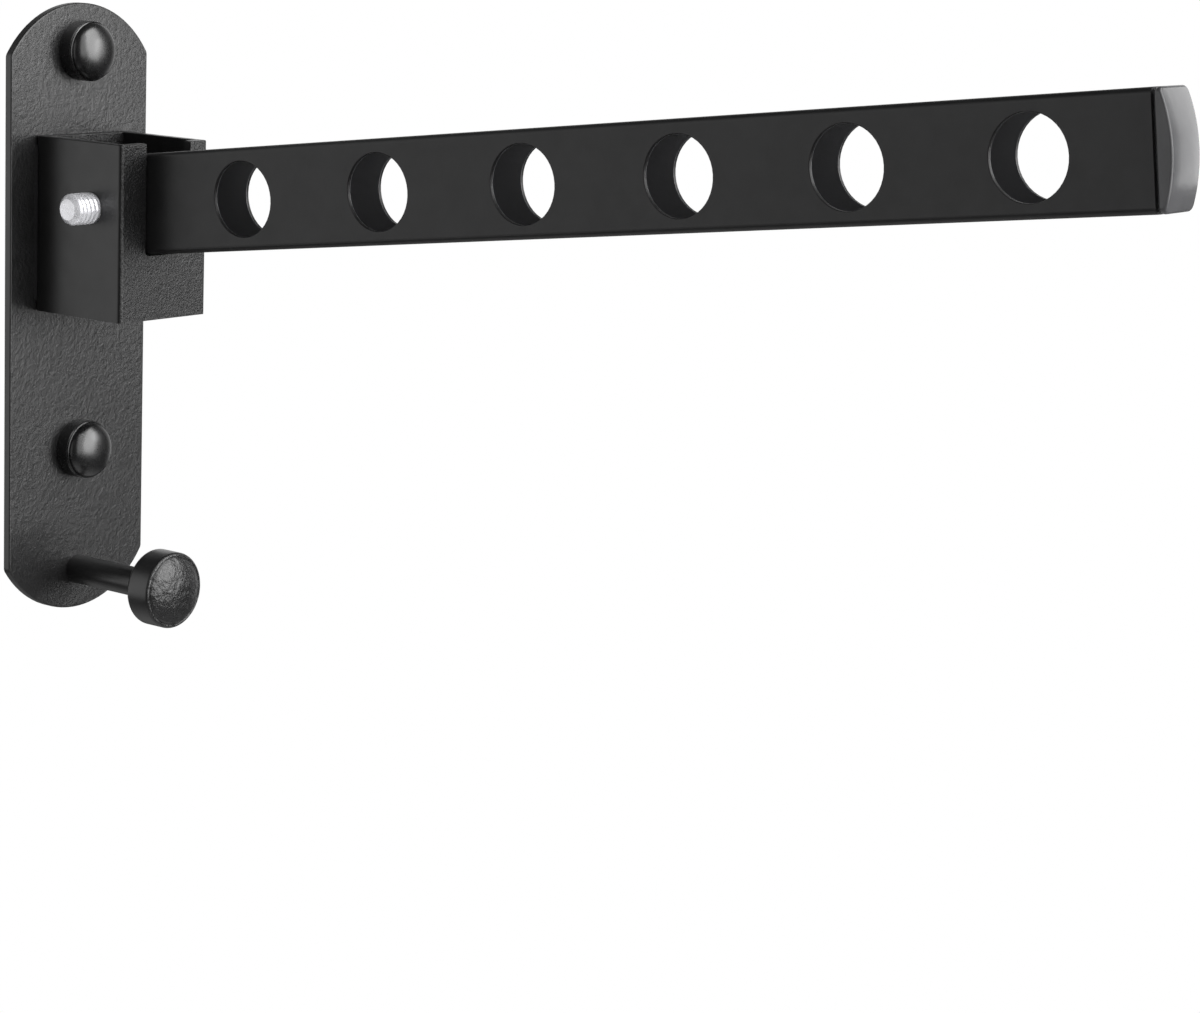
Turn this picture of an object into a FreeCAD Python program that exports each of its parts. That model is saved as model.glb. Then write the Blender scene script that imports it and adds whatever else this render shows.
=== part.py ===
import FreeCAD, Part
import math
import os
import Sketcher

# Folding wall clothing rack: a steel wall plate carries a short square tube, and a flat tubular arm
# with six hanger holes turns in that tube about a level screw. The arm lies in a notch when it is
# down and swings up against the wall. A round peg stands low on the plate, and a two-piece
# cap covers each of the two fixing holes.
#
# Frame: millimetres, Z up. The wall is the plane Y = 0 and the rack stands out towards -Y.
# X is level along the wall. The origin lies midway between the two fixing holes.

# Driving dimensions, millimetres unless the name says otherwise
SIZES = {
    # Wall plate
    "plate_height": 150.0,  # crown of the upper arc to foot of the lower arc
    "plate_width": 45.0,
    "plate_thick": 2.0,
    "plate_end_rise": 12.3,  # how far each end arc rises over the plate's width
    "plate_corner_radius": 2.0,
    "plate_edge_radius": 0.4,
    "fixing_spacing": 98.0,  # between the two fixing holes
    "fixing_drop": 11.4,  # crown of the plate to the upper fixing hole
    "fixing_hole_diameter": 7.0,
    # Square tube that carries the arm
    "tube_width": 29.0,
    "tube_depth": 29.0,
    "tube_height": 42.4,
    "tube_wall": 2.2,
    "tube_corner_radius": 1.1,
    "tube_edge_radius": 0.3,
    "tube_drop": 31.4,  # crown of the plate to the top of the tube
    "notch_width": 14.8,
    "notch_shift": 1.2,  # notch centre to the right of the tube's centre
    "notch_corner_radius": 1.2,
    "weld_end_gap": 2.0,  # bare length at each end of a weld
    "weld_rise": 1.1,  # up the tube's side
    "weld_reach": 0.7,  # out along the plate
    # Arm
    "pivot_front_reach": 8.3,  # inside of the tube's front wall to the pivot's axis
    "pivot_drop": 15.8,  # top of the tube to the pivot's axis
    "rest_tilt_degrees": 7.5,  # how far the arm points up when it is down on the notch
    "rest_gap": 0.05,
    "arm_height": 24.0,
    "arm_thick": 11.6,
    "arm_wall": 0.9,
    "arm_corner_radius": 1.4,
    "arm_reach": 277.0,  # pivot's axis to the front end of the arm's tube
    "arm_rear_radius": 12.5,  # rear end, round about the pivot's axis
    "hanger_hole_diameter": 17.7,
    "hanger_hole_end": 26.8,  # last hole's centre to the front end of the arm's tube
    "hanger_hole_count": 6,
    "hanger_hole_edge": 0.2,
    # Plug in the arm's front end
    "plug_rim": 2.2,  # thickness of the plug's head at its upper and lower edge
    "plug_bulge": 1.9,  # how much thicker the head is halfway up
    "plug_corner_radius": 1.2,
    "plug_insert_length": 14.0,
    "plug_insert_wall": 1.4,
    "plug_gap": 0.1,
    # Pivot
    "screw_diameter": 7.6,
    "screw_head_diameter": 12.4,
    "screw_head_height": 3.6,
    "screw_socket_across": 4.0,
    "screw_socket_depth": 2.2,
    "screw_stick_out": 7.2,  # threaded end beyond the tube's left face
    "screw_end_chamfer": 0.9,
    "screw_hole_gap": 0.1,
    "running_gap": 0.05,
    "side_gap": 0.1,
    "sleeve_diameter": 9.6,
    "nut_across": 11.0,
    "nut_thick": 5.2,
    "nylon_diameter": 13.0,
    "washer_diameter": 14.0,
    "washer_thick": 1.2,
    "spring_washer_diameter": 11.4,
    "spring_washer_thick": 1.8,
    "spring_washer_cut": 1.0,
    # Caps over the fixing holes
    "cap_diameter": 14.4,
    "cap_base_height": 3.8,
    "cap_height": 7.4,
    "cap_edge": 0.3,
    "cap_lip_diameter": 10.4,
    "cap_lip_height": 1.2,
    "cap_recess_diameter": 8.8,
    "cap_floor": 1.4,
    "cap_bore_diameter": 4.6,
    "cap_gap": 0.05,
    "dome_wall": 1.2,
    # Peg
    "peg_rise": 9.8,  # foot of the plate to the peg's axis
    "peg_diameter": 7.2,
    "peg_length": 34.4,  # plate's front to the rim of the head's face
    "peg_spigot_diameter": 5.0,
    "peg_spigot_length": 4.5,
    "peg_head_diameter": 18.8,
    "peg_head_thick": 7.6,
    "peg_head_crown": 1.8,
    "peg_head_edge": 1.5,
    # Cuts
    "overrun": 1.0,
    "match_gap": 0.001,  # how near an edge must lie to a plane to be picked there
}

STRAIGHT_SHARE = 0.999
ALONG_X = FreeCAD.Vector(1, 0, 0)
ALONG_Y = FreeCAD.Vector(0, 1, 0)
ALONG_Z = FreeCAD.Vector(0, 0, 1)


class Size:
    """A size with its value and the sheet expression that it follows."""

    def __init__(self, value, text):
        self.value = value
        self.text = text

    def combine(self, other, sign, value):
        text = other.text if isinstance(other, Size) else repr(other)
        return Size(value, "(%s %s %s)" % (self.text, sign, text))

    def __add__(self, other):
        return self.combine(other, "+", self.value + number(other))

    def __sub__(self, other):
        return self.combine(other, "-", self.value - number(other))

    def __mul__(self, other):
        return self.combine(other, "*", self.value * number(other))

    def __truediv__(self, other):
        return self.combine(other, "/", self.value / number(other))

    def __neg__(self):
        return Size(-self.value, "(-%s)" % self.text)

    def root(self):
        return Size(math.sqrt(self.value), "sqrt(%s)" % self.text)

    def tangent(self):
        return Size(math.tan(math.radians(self.value)), "tan(%s * 1 deg)" % self.text)

    def cosine(self):
        return Size(math.cos(math.radians(self.value)), "cos(%s * 1 deg)" % self.text)


class Sizes:
    """The sheet's sizes, each as an attribute."""


def number(size):
    return size.value if isinstance(size, Size) else size


def fill_sheet(doc):
    """Write the driving dimensions to the sheet and hand them back as sizes."""
    sheet = doc.addObject("Spreadsheet::Sheet", "Sizes")
    sizes = Sizes()
    for row, (alias, value) in enumerate(SIZES.items(), start=1):
        sheet.set("A%d" % row, alias)
        sheet.set("B%d" % row, str(value))
        sheet.setAlias("B%d" % row, alias)
        setattr(sizes, alias, Size(value, "Sizes.%s" % alias))
    doc.recompute()
    return sizes


def bind(thing, name, size):
    """Set a property by a size's expression."""
    thing.setExpression(name, size.text)


def place(thing, x=None, y=None, z=None):
    """Move a sub-part from its own frame to its place."""
    for letter, size in (("x", x), ("y", y), ("z", z)):
        if size is not None:
            bind(thing, "Placement.Base." + letter, size)


def new_body(label):
    body = doc.addObject("PartDesign::Body", label)
    body.Label = label
    return body


def new_sketch(body, plane, name, offset=None):
    """Start a sketch on one of the body's own planes, moved along the plane's normal by offset."""
    sketch = body.newObject("Sketcher::SketchObject", name)
    role = plane + "_Plane"
    support = [feature for feature in body.Origin.OriginFeatures if feature.Role == role][0]
    sketch.AttachmentSupport = [(support, "")]
    sketch.MapMode = "FlatFace"
    if offset is not None:
        bind(sketch, "AttachmentOffset.Base.z", offset)
    return sketch


def pin_point(sketch, geometry, end, across, up):
    """Hold one point of a sketch at its two sizes, measured from the sketch's origin."""
    if number(across) == 0:
        sketch.addConstraint(Sketcher.Constraint("PointOnObject", geometry, end, -2))
    else:
        index = sketch.addConstraint(
            Sketcher.Constraint("DistanceX", -1, 1, geometry, end, across.value))
        bind(sketch, "Constraints[%d]" % index, across)
    if number(up) == 0:
        sketch.addConstraint(Sketcher.Constraint("PointOnObject", geometry, end, -1))
    else:
        index = sketch.addConstraint(
            Sketcher.Constraint("DistanceY", -1, 1, geometry, end, up.value))
        bind(sketch, "Constraints[%d]" % index, up)


def flat_point(point):
    return FreeCAD.Vector(number(point[0]), number(point[1]), 0)


def draw_outline(sketch, points, arcs=None):
    """Draw a closed outline. arcs gives, by side number, a side's radius and a point it passes."""
    arcs = arcs or {}
    corners = [flat_point(point) for point in points]
    ends = []
    for side, start in enumerate(corners):
        stop = corners[(side + 1) % len(corners)]
        if side not in arcs:
            geometry = sketch.addGeometry(Part.LineSegment(start, stop), False)
            ends.append((geometry, 1, 2))
            continue
        radius, through = arcs[side]
        geometry = sketch.addGeometry(Part.Arc(start, flat_point(through), stop), False)
        first = sketch.getPoint(geometry, 1)
        forward = first.distanceToPoint(start) <= first.distanceToPoint(stop)
        ends.append((geometry, 1, 2) if forward else (geometry, 2, 1))
        index = sketch.addConstraint(Sketcher.Constraint("Radius", geometry, radius.value))
        bind(sketch, "Constraints[%d]" % index, radius)
    for side, (geometry, start_end, stop_end) in enumerate(ends):
        following, following_start, _ = ends[(side + 1) % len(ends)]
        sketch.addConstraint(
            Sketcher.Constraint("Coincident", geometry, stop_end, following, following_start))
        pin_point(sketch, geometry, start_end, points[side][0], points[side][1])


def draw_rectangle(sketch, left, right, low, high):
    draw_outline(sketch, [(left, low), (right, low), (right, high), (left, high)])


def draw_circle(sketch, across, up, diameter):
    centre = FreeCAD.Vector(number(across), number(up), 0)
    circle = Part.Circle(centre, FreeCAD.Vector(0, 0, 1), number(diameter) / 2)
    geometry = sketch.addGeometry(circle, False)
    index = sketch.addConstraint(Sketcher.Constraint("Diameter", geometry, diameter.value))
    bind(sketch, "Constraints[%d]" % index, diameter)
    pin_point(sketch, geometry, 3, across, up)


def add_pad(body, sketch, name, length, middle=False, reverse=False):
    pad = body.newObject("PartDesign::Pad", name)
    pad.Profile = sketch
    pad.Midplane = middle
    pad.Reversed = reverse
    bind(pad, "Length", length)
    doc.recompute()
    return pad


def add_pocket(body, sketch, name, length, middle=False, reverse=False):
    """Cut a sketch out of the body, and stop if it takes nothing away."""
    before = body.Shape.Volume
    pocket = body.newObject("PartDesign::Pocket", name)
    pocket.Profile = sketch
    pocket.Midplane = middle
    pocket.Reversed = reverse
    bind(pocket, "Length", length)
    doc.recompute()
    if not body.Shape.Volume < before:
        raise ValueError("%s cuts nothing" % name)
    return pocket


def add_revolution(body, sketch, name, axis):
    turn = body.newObject("PartDesign::Revolution", name)
    turn.Profile = sketch
    turn.ReferenceAxis = (sketch, [axis])
    turn.Angle = 360
    doc.recompute()
    return turn


def add_fillet(body, name, radius, wanted):
    """Round the edges that wanted picks."""
    base = body.Tip
    edges = ["Edge%d" % index for index, edge in enumerate(base.Shape.Edges, start=1) if wanted(edge)]
    if not edges:
        raise ValueError("%s finds no edge" % name)
    fillet = body.newObject("PartDesign::Fillet", name)
    fillet.Base = (base, edges)
    bind(fillet, "Radius", radius)
    doc.recompute()
    return fillet


def runs_along(edge, direction):
    """True for a straight edge along X, Y or Z."""
    if not isinstance(edge.Curve, Part.Line):
        return False
    return abs(edge.tangentAt(edge.FirstParameter).dot(direction)) > STRAIGHT_SHARE


def is_circle(edge):
    return not edge.Degenerated and isinstance(edge.Curve, Part.Circle)


def lies_at(edge, letter, where):
    """True if the whole edge lies in the plane letter = where."""
    box = edge.BoundBox
    low = getattr(box, letter + "Min")
    high = getattr(box, letter + "Max")
    return max(abs(low - where.value), abs(high - where.value)) < sizes.match_gap.value


def add_cylinder(name, diameter, height):
    cylinder = doc.addObject("Part::Cylinder", name)
    bind(cylinder, "Radius", diameter / 2)
    bind(cylinder, "Height", height)
    return cylinder


def cut_solid(label, base, tool):
    cut = doc.addObject("Part::Cut", label)
    cut.Label = label
    cut.Base = base
    cut.Tool = tool
    return cut


def ring_along_x(label, outer, bore, length, left):
    """A plain ring about the pivot's axis, from left, with its bore cut past both faces."""
    ring = add_cylinder(label + "_outside", outer, length)
    hole = add_cylinder(label + "_bore", bore, length + sizes.overrun * 2)
    bind(hole, "Placement.Base.z", -sizes.overrun)
    part = cut_solid(label, ring, hole)
    lay_along_x(part)
    place(part, left, pivot_y, pivot_z)
    return part


def lay_along_x(part):
    """Turn a piece that was made along its own Z so that it lies along X."""
    part.Placement.Rotation = FreeCAD.Rotation(FreeCAD.Vector(0, 1, 0), 90)


doc = FreeCAD.newDocument("FoldingClothingRack")
sizes = fill_sheet(doc)

# Places that several pieces share
plate_top = sizes.fixing_spacing / 2 + sizes.fixing_drop
plate_foot = plate_top - sizes.plate_height
upper_fixing = sizes.fixing_spacing / 2
lower_fixing = -sizes.fixing_spacing / 2
tube_top = plate_top - sizes.tube_drop
tube_foot = tube_top - sizes.tube_height
tube_side = sizes.tube_width / 2
tube_inside = tube_side - sizes.tube_wall
pivot_depth = sizes.tube_depth - sizes.tube_wall - sizes.pivot_front_reach
pivot_y = -(sizes.plate_thick + pivot_depth)
pivot_z = tube_top - sizes.pivot_drop
arm_side = sizes.arm_thick / 2
arm_half = sizes.arm_height / 2
hanger_hole_pitch = (sizes.arm_reach - sizes.hanger_hole_end) / sizes.hanger_hole_count
peg_z = plate_foot + sizes.peg_rise
screw_hole = sizes.screw_diameter + sizes.screw_hole_gap * 2


# Wall plate: straight sides, an arc at each end, and a hole for each cap and for the peg
def make_wall_plate():
    body = new_body("wall_plate")
    half = sizes.plate_width / 2
    rise = sizes.plate_end_rise
    shoulder = plate_top - rise
    foot = plate_foot + rise
    end_radius = (half * half + rise * rise) / (rise * 2)
    sketch = new_sketch(body, "XZ", "PlateOutline")
    corners = [(-half, foot), (half, foot), (half, shoulder), (-half, shoulder)]
    draw_outline(sketch, corners, {0: (end_radius, (0, plate_foot)), 2: (end_radius, (0, plate_top))})
    add_pad(body, sketch, "PlateSheet", sizes.plate_thick)
    add_fillet(body, "PlateCorners", sizes.plate_corner_radius, lambda edge: runs_along(edge, ALONG_Y))
    add_fillet(body, "PlateEdge", sizes.plate_edge_radius,
               lambda edge: lies_at(edge, "Y", -sizes.plate_thick))
    holes = new_sketch(body, "XZ", "FixingHoles")
    draw_circle(holes, 0, upper_fixing, sizes.fixing_hole_diameter)
    draw_circle(holes, 0, lower_fixing, sizes.fixing_hole_diameter)
    draw_circle(holes, 0, peg_z, sizes.peg_spigot_diameter)
    add_pocket(body, holes, "FixingHolesCut", (sizes.plate_thick + sizes.overrun) * 2, middle=True)
    return body


# Square tube on end: rounded corners, a notch open to the top in its front wall, screw holes
def make_pivot_bracket():
    body = new_body("pivot_bracket")
    section = new_sketch(body, "XY", "TubeSection")
    draw_rectangle(section, -tube_side, tube_side, -sizes.tube_depth, 0)
    add_pad(body, section, "TubeBlank", sizes.tube_height)
    add_fillet(body, "TubeCorners", sizes.tube_corner_radius, lambda edge: runs_along(edge, ALONG_Z))
    bore = new_sketch(body, "XY", "TubeBore")
    draw_rectangle(bore, -tube_inside, tube_inside, sizes.tube_wall - sizes.tube_depth, -sizes.tube_wall)
    add_pocket(body, bore, "TubeBoreCut", sizes.tube_height, reverse=True)

    tilt = sizes.rest_tilt_degrees
    underside = sizes.pivot_front_reach * tilt.tangent() - arm_half / tilt.cosine()
    pivot_height = sizes.tube_height - sizes.pivot_drop
    floor = pivot_height + underside - sizes.rest_gap
    left = sizes.notch_shift - sizes.notch_width / 2
    right = sizes.notch_shift + sizes.notch_width / 2
    notch = new_sketch(body, "XZ", "Notch", sizes.tube_depth / 2)
    draw_rectangle(notch, left, right, floor, sizes.tube_height + sizes.overrun)
    add_pocket(body, notch, "NotchCut", sizes.tube_depth, reverse=True)
    add_fillet(body, "NotchCorners", sizes.notch_corner_radius,
               lambda edge: runs_along(edge, ALONG_Y) and lies_at(edge, "Z", floor))

    holes = new_sketch(body, "YZ", "ScrewHole")
    draw_circle(holes, -pivot_depth, pivot_height, screw_hole)
    add_pocket(body, holes, "ScrewHoleCut", sizes.tube_width + sizes.overrun * 2, middle=True)
    add_fillet(body, "TubeTopEdge", sizes.tube_edge_radius,
               lambda edge: lies_at(edge, "Z", sizes.tube_height))
    place(body, y=-sizes.plate_thick, z=tube_foot)
    return body


# Weld on each side, from the groove at the tube's rounded rear corner out over the plate
def make_weld_bead(label, side):
    body = new_body(label)
    leg = sizes.tube_corner_radius * (2 - math.sqrt(2)) - sizes.rest_gap
    beside = sizes.rest_gap * side
    sketch = new_sketch(body, "XY", label + "_section")
    draw_outline(sketch, [(leg * -side, 0), (beside, -leg), (beside, -sizes.weld_rise),
                          (sizes.weld_reach * side, 0)])
    add_pad(body, sketch, label + "_run", sizes.tube_height - sizes.weld_end_gap * 2)
    place(body, tube_side * side, -sizes.plate_thick, tube_foot + sizes.weld_end_gap)
    return body


def hang_on_pivot(thing):
    """Put a piece made about the pivot, with the arm level, at the arm's resting tilt."""
    thing.Placement.Rotation = FreeCAD.Rotation(-ALONG_X, sizes.rest_tilt_degrees.value)
    bind(thing, "Placement.Rotation.Angle", sizes.rest_tilt_degrees)
    place(thing, y=pivot_y, z=pivot_z)


# Arm: rectangular tube, rear end cut round about the pivot, a row of holes through both sides
def make_arm_tube():
    body = new_body("arm_tube")
    rear_radius = sizes.arm_rear_radius
    section = new_sketch(body, "XZ", "ArmSection", -rear_radius)
    draw_rectangle(section, -arm_side, arm_side, -arm_half, arm_half)
    add_pad(body, section, "ArmBlank", sizes.arm_reach + rear_radius)
    add_fillet(body, "ArmCorners", sizes.arm_corner_radius, lambda edge: runs_along(edge, ALONG_Y))
    bore = new_sketch(body, "XZ", "ArmBore", -(rear_radius + sizes.overrun))
    inner_side = arm_side - sizes.arm_wall
    inner_half = arm_half - sizes.arm_wall
    draw_rectangle(bore, -inner_side, inner_side, -inner_half, inner_half)
    add_pocket(body, bore, "ArmBoreCut", sizes.arm_reach + sizes.arm_height + sizes.overrun, reverse=True)

    rear = new_sketch(body, "YZ", "ArmRear")
    shoulder = (rear_radius * rear_radius - arm_half * arm_half).root()
    outer = rear_radius + sizes.overrun
    corners = [(shoulder, arm_half), (shoulder, outer), (outer, outer), (outer, -outer),
               (shoulder, -outer), (shoulder, -arm_half)]
    draw_outline(rear, corners, {5: (rear_radius, (rear_radius, 0))})
    add_pocket(body, rear, "ArmRearCut", sizes.arm_thick + sizes.overrun * 2, middle=True)

    holes = new_sketch(body, "YZ", "HangerHole")
    draw_circle(holes, -hanger_hole_pitch, 0, sizes.hanger_hole_diameter)
    first = add_pocket(body, holes, "HangerHoleCut", sizes.arm_thick + sizes.overrun * 2, middle=True)
    row = body.newObject("PartDesign::LinearPattern", "HangerHoleRow")
    row.Originals = [first]
    row.Direction = (holes, ["H_Axis"])
    row.Reversed = True
    bind(row, "Occurrences", sizes.hanger_hole_count)
    bind(row, "Length", hanger_hole_pitch * (sizes.hanger_hole_count - 1))
    body.Tip = row
    doc.recompute()

    def hole_rim(edge):
        if not is_circle(edge):
            return False
        if abs(edge.Curve.Radius * 2 - sizes.hanger_hole_diameter.value) > sizes.match_gap.value:
            return False
        return lies_at(edge, "X", -arm_side) or lies_at(edge, "X", arm_side)

    add_fillet(body, "HangerHoleRims", sizes.hanger_hole_edge, hole_rim)
    seat = new_sketch(body, "YZ", "SleeveSeat")
    draw_circle(seat, 0, 0, sizes.sleeve_diameter)
    add_pocket(body, seat, "SleeveSeatCut", sizes.arm_thick + sizes.overrun * 2, middle=True)
    hang_on_pivot(body)
    return body


# Plug: a bulged head over the tube's end and a hollow part pushed into the tube
def make_arm_end_plug():
    body = new_body("arm_end_plug")
    rim = -(sizes.arm_reach + sizes.plug_rim)
    nose = rim - sizes.plug_bulge
    bulge = sizes.plug_bulge
    bulge_radius = (arm_half * arm_half + bulge * bulge) / (bulge * 2)
    head = new_sketch(body, "YZ", "PlugHead")
    seam = -sizes.arm_reach
    corners = [(seam, -arm_half), (seam, arm_half), (rim, arm_half), (rim, -arm_half)]
    draw_outline(head, corners, {2: (bulge_radius, (nose, 0))})
    add_pad(body, head, "PlugHeadSolid", sizes.arm_thick, middle=True)
    add_fillet(body, "PlugHeadEdges", sizes.plug_corner_radius,
               lambda edge: not lies_at(edge, "Y", seam))

    insert = new_sketch(body, "XZ", "PlugInsert", sizes.arm_reach)
    side = arm_side - sizes.arm_wall - sizes.plug_gap
    half = arm_half - sizes.arm_wall - sizes.plug_gap
    draw_rectangle(insert, -side, side, -half, half)
    add_pad(body, insert, "PlugInsertSolid", sizes.plug_insert_length, reverse=True)
    hollow = new_sketch(body, "XZ", "PlugHollow", sizes.arm_reach)
    hollow_side = side - sizes.plug_insert_wall
    hollow_half = half - sizes.plug_insert_wall
    draw_rectangle(hollow, -hollow_side, hollow_side, -hollow_half, hollow_half)
    add_pocket(body, hollow, "PlugHollowCut", sizes.plug_insert_length + sizes.overrun)
    hang_on_pivot(body)
    return body


# Sleeve through the arm that turns on the screw
def make_pivot_sleeve():
    sleeve_bore = sizes.screw_diameter + sizes.running_gap * 2
    return ring_along_x("pivot_sleeve", sizes.sleeve_diameter, sleeve_bore, sizes.arm_thick, -arm_side)


# Screw along X: round head with a hexagon socket on the right, threaded end out on the left
def make_pivot_screw():
    body = new_body("pivot_screw")
    under_head = tube_side + sizes.washer_thick + sizes.spring_washer_thick
    left_end = -(tube_side + sizes.screw_stick_out)
    radius = sizes.screw_diameter / 2
    head_radius = sizes.screw_head_diameter / 2
    crown = under_head + sizes.screw_head_height
    flank = under_head + sizes.screw_head_height / 4
    chamfer = sizes.screw_end_chamfer
    top_flat = sizes.screw_head_diameter / 4
    sketch = new_sketch(body, "XY", "ScrewProfile")
    corners = [(left_end, 0), (crown, 0), (crown, top_flat), (flank, head_radius),
               (under_head, head_radius), (under_head, radius), (left_end + chamfer, radius),
               (left_end, radius - chamfer)]
    run = crown - flank
    rise = head_radius - top_flat
    chord = (run * run + rise * rise).root()
    middle = (crown - run / 4, head_radius - rise / 3)
    draw_outline(sketch, corners, {2: (chord, middle)})
    add_revolution(body, sketch, "ScrewTurned", "H_Axis")
    socket = new_sketch(body, "YZ", "ScrewSocket", crown)
    corner = sizes.screw_socket_across / math.sqrt(3)
    flat = sizes.screw_socket_across / 2
    draw_outline(socket, [(corner, 0), (corner / 2, flat), (-corner / 2, flat),
                          (-corner, 0), (-corner / 2, -flat), (corner / 2, -flat)])
    add_pocket(body, socket, "ScrewSocketCut", sizes.screw_socket_depth)
    place(body, y=pivot_y, z=pivot_z)
    return body


# Hexagon nut welded inside the left wall
def make_pivot_nut():
    outside = doc.addObject("Part::Prism", "pivot_nut_outside")
    outside.Polygon = 6
    bind(outside, "Circumradius", sizes.nut_across / math.sqrt(3))
    bind(outside, "Height", sizes.nut_thick)
    bore = add_cylinder("pivot_nut_bore", screw_hole, sizes.nut_thick + sizes.overrun * 2)
    bind(bore, "Placement.Base.z", -sizes.overrun)
    nut = cut_solid("pivot_nut", outside, bore)
    lay_along_x(nut)
    place(nut, -tube_inside, pivot_y, pivot_z)
    return nut


# Rings on the screw: nylon on both sides of the arm, steel under the head
def make_pivot_rings():
    left_room = tube_inside - sizes.nut_thick - arm_side
    right_room = tube_inside - arm_side
    left_face = sizes.nut_thick - tube_inside
    return [
        ring_along_x("nylon_washer", sizes.nylon_diameter, screw_hole,
                     left_room - sizes.side_gap, left_face),
        ring_along_x("nylon_spacer", sizes.nylon_diameter, screw_hole,
                     right_room - sizes.side_gap, arm_side + sizes.side_gap),
        ring_along_x("head_washer", sizes.washer_diameter, screw_hole, sizes.washer_thick, tube_side),
    ]


# Split spring washer between the flat washer and the head
def make_spring_washer():
    ring = add_cylinder("spring_washer_outside", sizes.spring_washer_diameter, sizes.spring_washer_thick)
    bore = add_cylinder("spring_washer_bore", screw_hole, sizes.spring_washer_thick + sizes.overrun * 2)
    bind(bore, "Placement.Base.z", -sizes.overrun)
    whole = cut_solid("spring_washer_ring", ring, bore)
    gap = doc.addObject("Part::Box", "spring_washer_gap")
    bind(gap, "Length", sizes.spring_washer_diameter)
    bind(gap, "Width", sizes.spring_washer_cut)
    bind(gap, "Height", sizes.spring_washer_thick + sizes.overrun * 2)
    bind(gap, "Placement.Base.y", -sizes.spring_washer_cut / 2)
    bind(gap, "Placement.Base.z", -sizes.overrun)
    washer = cut_solid("spring_washer", whole, gap)
    lay_along_x(washer)
    place(washer, tube_side + sizes.washer_thick, pivot_y, pivot_z)
    return washer


# Peg: a round bar let into the plate and into its head
def make_peg_post():
    body = new_body("peg_post")
    radius = sizes.peg_diameter / 2
    spigot = sizes.peg_spigot_diameter / 2
    seat = sizes.peg_length - sizes.peg_head_thick
    tip = seat + sizes.peg_spigot_length
    sketch = new_sketch(body, "XY", "PegProfile")
    corners = [(0, sizes.plate_thick), (spigot, sizes.plate_thick), (spigot, 0), (radius, 0),
               (radius, -seat), (spigot, -seat), (spigot, -tip), (0, -tip)]
    draw_outline(sketch, corners)
    add_revolution(body, sketch, "PegTurned", "V_Axis")
    place(body, y=-sizes.plate_thick, z=peg_z)
    return body


# Head of the peg: a thick disc with a domed face and rounded rims
def make_peg_head():
    body = new_body("peg_head")
    radius = sizes.peg_head_diameter / 2
    thick = sizes.peg_head_thick
    crown = sizes.peg_head_crown
    sketch = new_sketch(body, "XY", "PegHeadProfile")
    corners = [(0, 0), (radius, 0), (radius, -thick), (0, -(thick + crown))]
    face_radius = (radius * radius + crown * crown) / (crown * 2)
    half_drop = thick + crown * 3 / 4
    draw_outline(sketch, corners, {2: (face_radius, (radius / 2, -half_drop))})
    add_revolution(body, sketch, "PegHeadTurned", "V_Axis")
    add_fillet(body, "PegHeadRims", sizes.peg_head_edge, is_circle)
    seat = new_sketch(body, "XZ", "PegHeadSeat")
    draw_circle(seat, 0, 0, sizes.peg_spigot_diameter)
    add_pocket(body, seat, "PegHeadSeatCut", sizes.peg_spigot_length, reverse=True)
    bind(body, "Placement.Base.y", thick - sizes.plate_thick - sizes.peg_length)
    place(body, z=peg_z)
    return body


# Base of a cap: a ring with a neck in the plate's hole, a bore for the wall screw, room for
# that screw's head and a lip for the dome
def make_cap_base(label, height):
    body = new_body(label)
    neck = sizes.fixing_hole_diameter / 2 - sizes.cap_gap
    outside = sizes.cap_diameter / 2
    lip = sizes.cap_lip_diameter / 2
    recess = sizes.cap_recess_diameter / 2
    bore = sizes.cap_bore_diameter / 2
    edge = sizes.cap_edge
    top = sizes.cap_base_height
    lip_top = top + sizes.cap_lip_height
    sketch = new_sketch(body, "XY", label + "_profile")
    corners = [(bore, sizes.plate_thick), (neck, sizes.plate_thick), (neck, 0), (outside, 0),
               (outside, edge - top), (outside - edge, -top), (lip, -top), (lip, -lip_top),
               (recess, -lip_top), (recess, -sizes.cap_floor), (bore, -sizes.cap_floor)]
    draw_outline(sketch, corners)
    add_revolution(body, sketch, label + "_turned", "V_Axis")
    place(body, y=-sizes.plate_thick, z=height)
    return body


# Dome of a cap: a thin round shell pushed over the base's lip
def make_cap_dome(label, height):
    body = new_body(label)
    outside = sizes.cap_diameter / 2
    rise = sizes.cap_height - sizes.cap_base_height
    outer_radius = (outside * outside + rise * rise) / (rise * 2)
    inner_radius = outer_radius - sizes.dome_wall
    centre = rise - outer_radius
    hole = sizes.cap_lip_diameter / 2 + sizes.cap_gap
    step = sizes.cap_lip_height + sizes.cap_gap
    climb = step - centre
    shoulder = (inner_radius * inner_radius - climb * climb).root()
    crown = rise - sizes.dome_wall

    def partway(radius, across):
        height = centre + (radius * radius - across * across / 4).root()
        return across / 2, -height

    sketch = new_sketch(body, "XY", label + "_profile")
    corners = [(hole, 0), (outside, 0), (0, -rise), (0, -crown), (shoulder, -step), (hole, -step)]
    draw_outline(sketch, corners, {1: (outer_radius, partway(outer_radius, outside)),
                                   3: (inner_radius, partway(inner_radius, shoulder))})
    add_revolution(body, sketch, label + "_turned", "V_Axis")
    bind(body, "Placement.Base.y", -(sizes.plate_thick + sizes.cap_base_height))
    place(body, z=height)
    return body


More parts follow.
